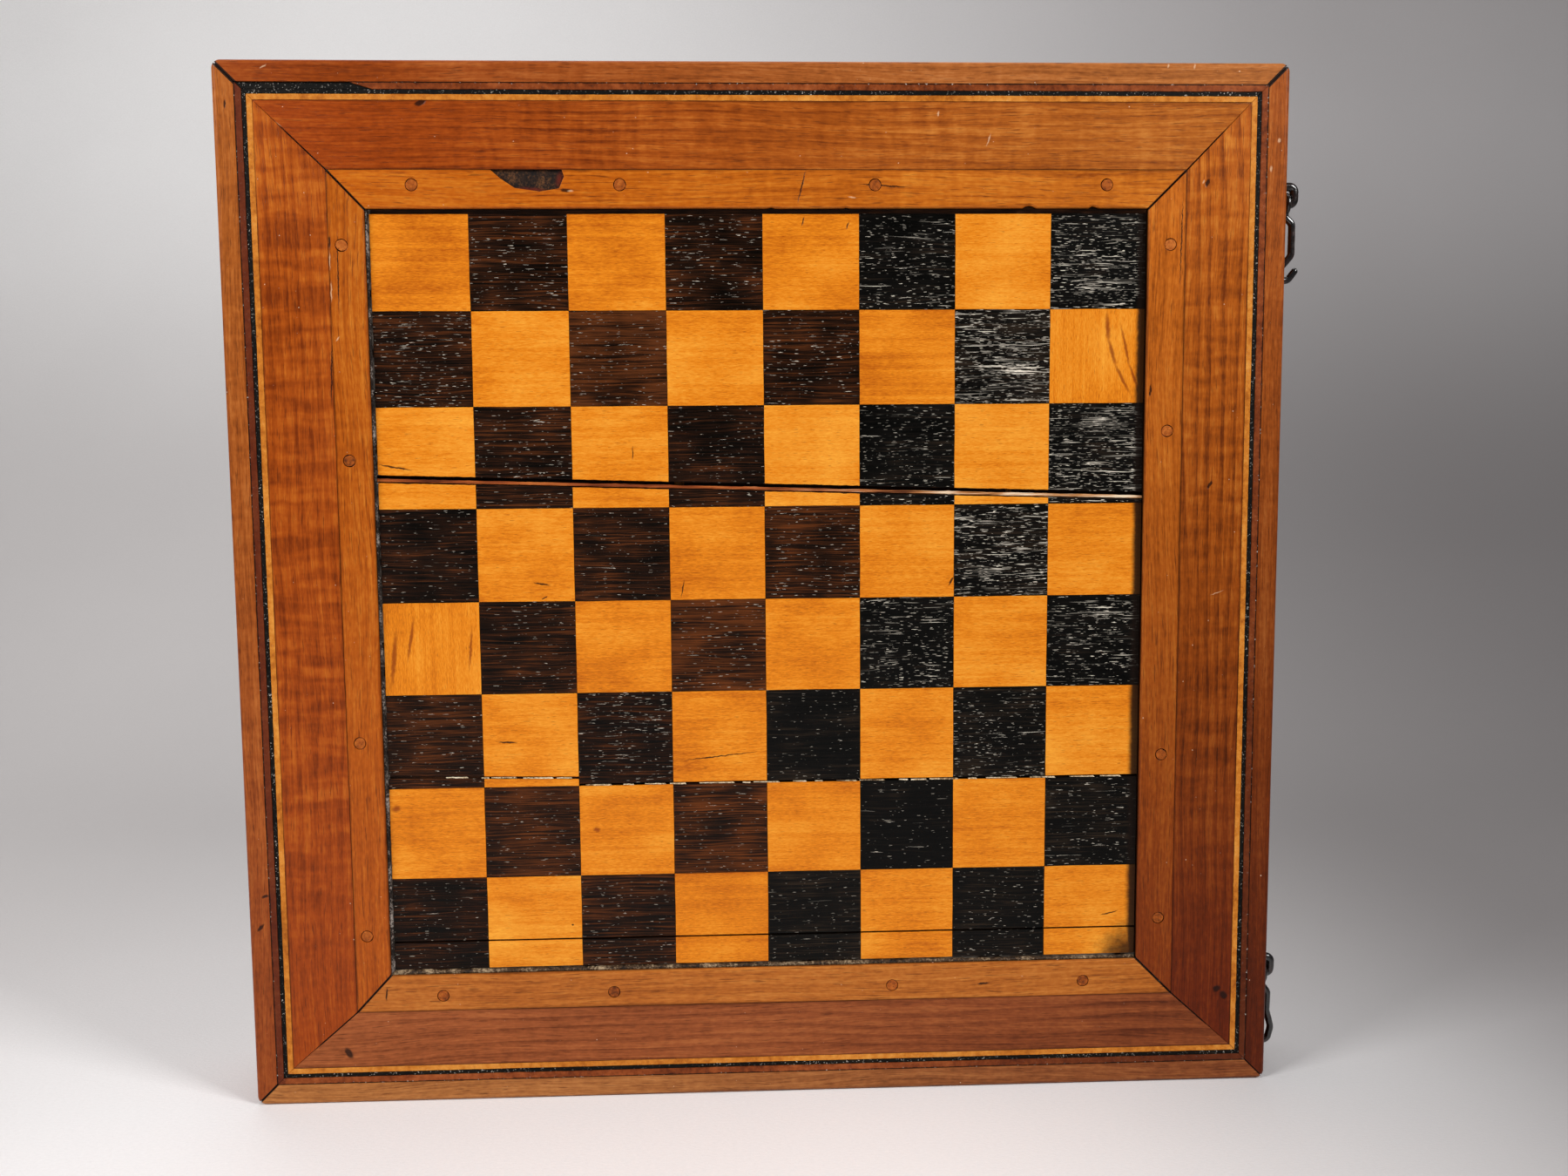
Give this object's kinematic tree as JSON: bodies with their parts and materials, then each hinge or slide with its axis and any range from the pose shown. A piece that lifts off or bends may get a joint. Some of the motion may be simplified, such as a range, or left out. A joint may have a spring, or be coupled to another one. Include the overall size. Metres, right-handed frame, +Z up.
{
  "type": "folding chess and backgammon board",
  "caption": "Folding wooden games board: two hinged trays, chess squares in a pegged frame outside, backgammon points inside, closed by iron hooks.",
  "frame": {"origin": "floor level, midway along the lower edge, in the plane where the two rims meet", "axes": "+X to the right across the chess face, +Y away from the viewer into the box, +Z up"},
  "size_m": [0.4379, 0.054, 0.417],
  "materials": {
    "walnut_wall": "worn satin walnut",
    "red_fillet": "stained satin wood",
    "black_string": "ebonised wood",
    "light_string": "satin boxwood",
    "band_wood": "satin figured walnut",
    "strip_wood": "satin walnut",
    "peg_wood": "end grain",
    "plank_wood": "plain sawn",
    "light_square_wood": "satin veneer",
    "dark_square_wood": "satin veneer",
    "lining_wood": "satin veneer",
    "iron": "blackened, forged"
  },
  "bodies": {
    "back_tray": {"back_band_bottom": "band_wood", "back_band_left": "band_wood", "back_band_right": "band_wood", "back_band_top": "band_wood", "back_black_string": "black_string", "back_dark_points": "dark_square_wood", "back_fillet": "red_fillet", "back_hinge_screws": "iron", "back_light_points": "light_square_wood", "back_light_string": "light_string", "back_lining": "lining_wood", "back_pegs": "peg_wood", "back_planks": "plank_wood", "back_strip_bottom": "strip_wood", "back_strip_left": "strip_wood", "back_strip_right": "strip_wood", "back_strip_top": "strip_wood", "back_wall_bottom": "walnut_wall", "back_wall_left": "walnut_wall", "back_wall_right": "walnut_wall", "back_wall_top": "walnut_wall", "lower_catch_staple": "iron", "lower_hinge_back_leaf": "iron", "lower_hinge_pin": "iron", "upper_catch_staple": "iron", "upper_hinge_back_leaf": "iron", "upper_hinge_pin": "iron"},
    "chess_tray": {"chess_band_bottom": "band_wood", "chess_band_left": "band_wood", "chess_band_right": "band_wood", "chess_band_top": "band_wood", "chess_black_string": "black_string", "chess_dark_points": "dark_square_wood", "chess_fillet": "red_fillet", "chess_hinge_screws": "iron", "chess_light_points": "light_square_wood", "chess_light_string": "light_string", "chess_lining": "lining_wood", "chess_pegs": "peg_wood", "chess_plank_1": "plank_wood", "chess_plank_2": "plank_wood", "chess_plank_3": "plank_wood", "chess_plank_4": "plank_wood", "chess_strip_bottom": "strip_wood", "chess_strip_left": "strip_wood", "chess_strip_right": "strip_wood", "chess_strip_top": "strip_wood", "chess_wall_bottom": "walnut_wall", "chess_wall_left": "walnut_wall", "chess_wall_right": "walnut_wall", "chess_wall_top": "walnut_wall", "dark_squares": "dark_square_wood", "light_squares": "light_square_wood", "lower_hinge_chess_leaf": "iron", "lower_hook_staple": "iron", "upper_hinge_chess_leaf": "iron", "upper_hook_staple": "iron"},
    "upper_hook": {"upper_hook": "iron"},
    "lower_hook": {"lower_hook": "iron"}
  },
  "joints": [
    {"name": "board_hinge", "type": "hinge", "parent": "back_tray", "child": "chess_tray", "pos_m": [-0.2134, 0, 0.2085], "axis": [0, 0, -1], "range_deg": [0, 180]},
    {"name": "upper_hook_swing", "type": "hinge", "parent": "chess_tray", "child": "upper_hook", "pos_m": [0.2156, -0.0104, 0.3648], "axis": [1, 0, 0], "range_deg": [-90, 90]},
    {"name": "lower_hook_swing", "type": "hinge", "parent": "chess_tray", "child": "lower_hook", "pos_m": [0.2141, -0.0104, 0.0402], "axis": [1, 0, 0], "range_deg": [-90, 90]}
  ]
}
